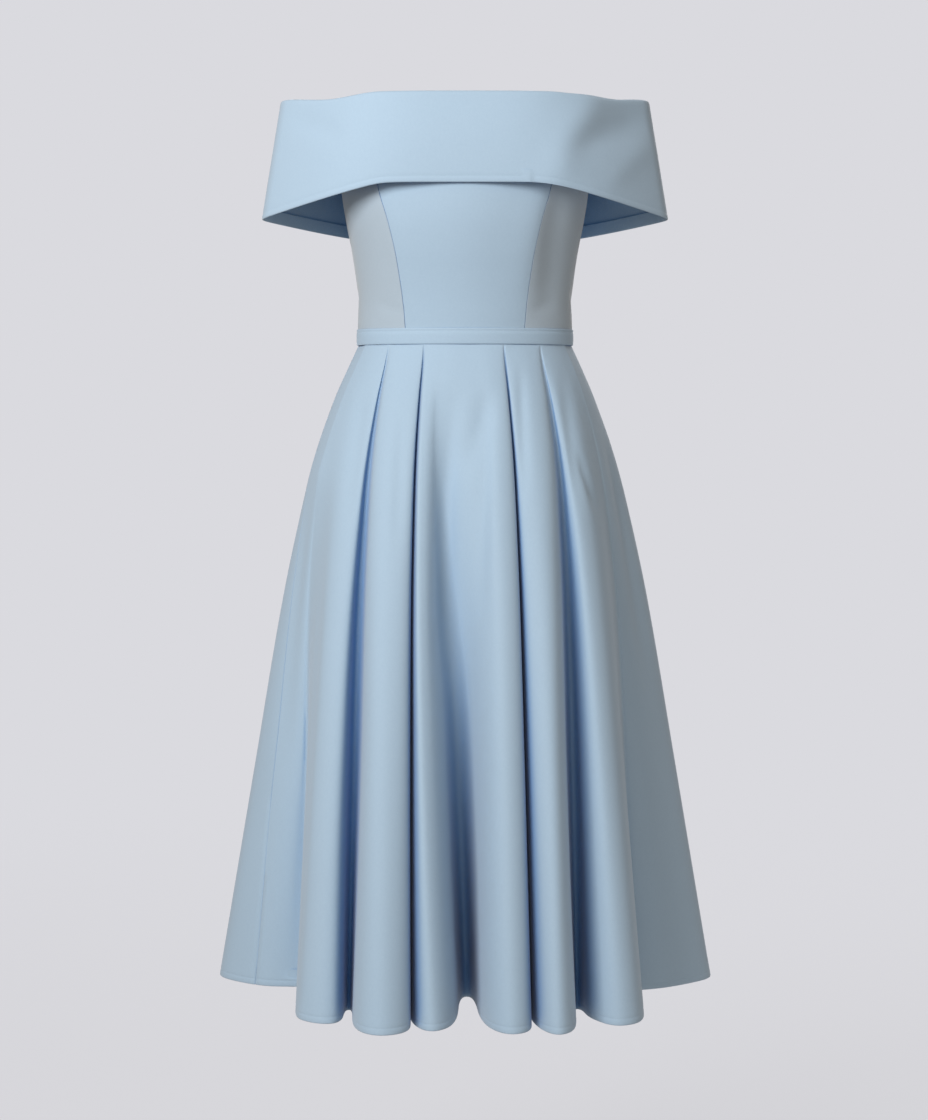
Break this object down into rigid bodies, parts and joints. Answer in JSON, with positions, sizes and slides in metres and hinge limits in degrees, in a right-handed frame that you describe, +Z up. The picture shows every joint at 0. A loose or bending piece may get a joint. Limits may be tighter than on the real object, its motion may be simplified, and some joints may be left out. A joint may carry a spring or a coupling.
{
  "type": "off-the-shoulder midi dress",
  "caption": "Off-the-shoulder midi dress with a wide fold-over collar, fitted princess-seamed bodice, flat waistband and full skirt with soft unpressed pleats, in the shape it has when worn",
  "frame": {"origin": "middle of the waist, half way up the waistband, where the wearer's waist carries the dress", "axes": "+Z up the body, -Y the front of the dress, +X the wearer's left"},
  "size_m": [0.5745, 0.5737, 1.0128],
  "materials": {
    "dress_cloth": "smooth crepe with a soft satin sheen, dusty light blue",
    "zip_tape": "woven tape with a moulded coil, light blue"
  },
  "bodies": {
    "root": {"collar_front": "dress_cloth", "collar_back_left": "dress_cloth", "collar_back_right": "dress_cloth", "bodice_centre_front": "dress_cloth", "bodice_side_front_left": "dress_cloth", "bodice_side_front_right": "dress_cloth", "bodice_back_left": "dress_cloth", "bodice_back_right": "dress_cloth", "waistband_front": "dress_cloth", "waistband_back_left": "dress_cloth", "waistband_back_right": "dress_cloth", "skirt_front": "dress_cloth", "skirt_back_left": "dress_cloth", "skirt_back_right": "dress_cloth", "zip": "zip_tape"}
  },
  "joints": []
}
